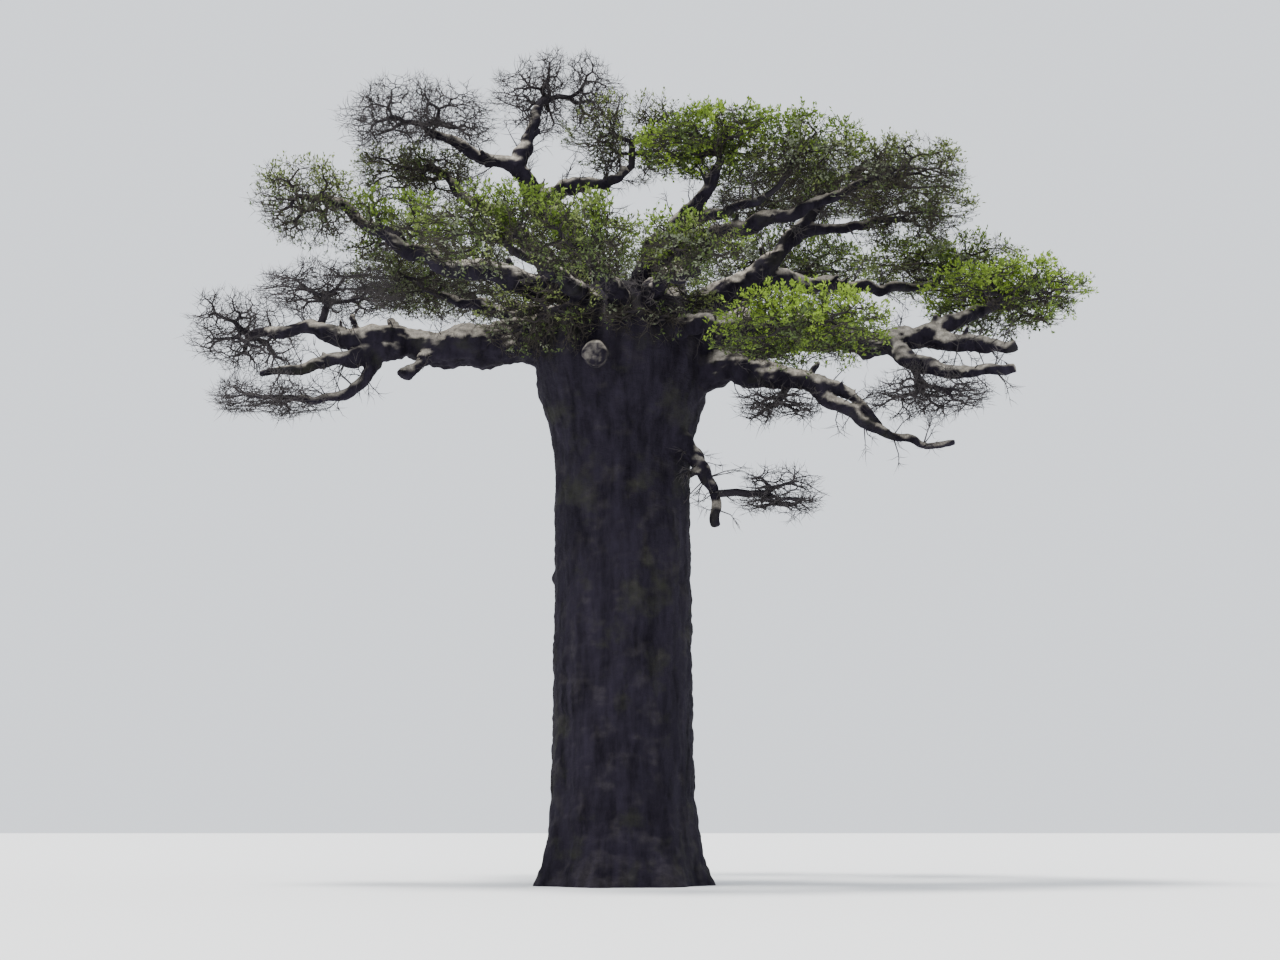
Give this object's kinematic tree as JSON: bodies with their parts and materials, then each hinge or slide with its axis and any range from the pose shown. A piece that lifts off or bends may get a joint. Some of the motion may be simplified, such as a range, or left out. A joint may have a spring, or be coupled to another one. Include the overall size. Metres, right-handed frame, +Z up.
{
  "type": "baobab tree",
  "caption": "Old baobab with a massive straight trunk, a low root flare, heavy crooked boughs and a wide flat crown, half bare and half in young leaf.",
  "frame": {"origin": "middle of the flat cut under the trunk, at ground level", "axes": "+Z up along the trunk; +X to the right and -Y towards the viewer in the picture"},
  "size_m": [25.6749, 20.4616, 23.9853],
  "materials": {
    "trunk_bark": "matt grey bark with fine upright lines",
    "bough_bark": "matt grey knobbly bark, paler on top",
    "bare_twigs": "dull grey-brown twigs with no leaves",
    "twigs_in_bud": "grey-brown twigs with few dull green leaves",
    "olive_leaves": "dull olive green leaves",
    "fresh_leaves": "bright yellow-green young leaves"
  },
  "bodies": {
    "root": {"trunk": "trunk_bark", "bough_left_low": "bough_bark", "bough_left_arm": "bough_bark", "bough_left_drop": "bough_bark", "bough_left_high": "bough_bark", "bough_left_back": "bough_bark", "bough_upper_left": "bough_bark", "bough_top": "bough_bark", "bough_top_leader": "bough_bark", "bough_top_right": "bough_bark", "bough_centre_right": "bough_bark", "bough_centre_right_fork": "bough_bark", "bough_right_level": "bough_bark", "bough_hook": "bough_bark", "bough_right_high": "bough_bark", "bough_right_high_arm": "bough_bark", "bough_right_mid": "bough_bark", "bough_right": "bough_bark", "bough_right_stub": "bough_bark", "bough_right_stub_low": "bough_bark", "bough_right_low": "bough_bark", "bough_right_low_fork": "bough_bark", "bough_low_right": "bough_bark", "bough_front_right": "bough_bark", "bough_front_left": "bough_bark", "bough_front": "bough_bark", "bough_front_centre": "bough_bark", "bough_back_right": "bough_bark", "bough_back": "bough_bark", "bough_back_left": "bough_bark", "twigs_left_tip": "bare_twigs", "twigs_left_rise": "bare_twigs", "twigs_left_drop": "bare_twigs", "twigs_left_high": "twigs_in_bud", "leaves_left_high": "olive_leaves", "twigs_left_back": "twigs_in_bud", "twigs_upper_left": "twigs_in_bud", "twigs_top_left": "bare_twigs", "twigs_top": "bare_twigs", "leaves_top_right": "twigs_in_bud", "leaves_centre_right": "fresh_leaves", "leaves_centre_fork": "olive_leaves", "leaves_right_level": "twigs_in_bud", "leaves_hook": "twigs_in_bud", "leaves_right_high": "twigs_in_bud", "twigs_right_arm": "twigs_in_bud", "leaves_right_mid": "olive_leaves", "leaves_right": "fresh_leaves", "twigs_right_hang": "bare_twigs", "twigs_right_low": "bare_twigs", "twigs_low_right": "bare_twigs", "leaves_front_right": "fresh_leaves", "twigs_collar_left": "twigs_in_bud", "twigs_collar_right": "twigs_in_bud", "leaves_front_left": "olive_leaves", "leaves_front": "olive_leaves", "leaves_front_centre": "olive_leaves", "leaves_back_right": "olive_leaves", "leaves_back": "olive_leaves", "twigs_back_left": "twigs_in_bud"}
  },
  "joints": []
}
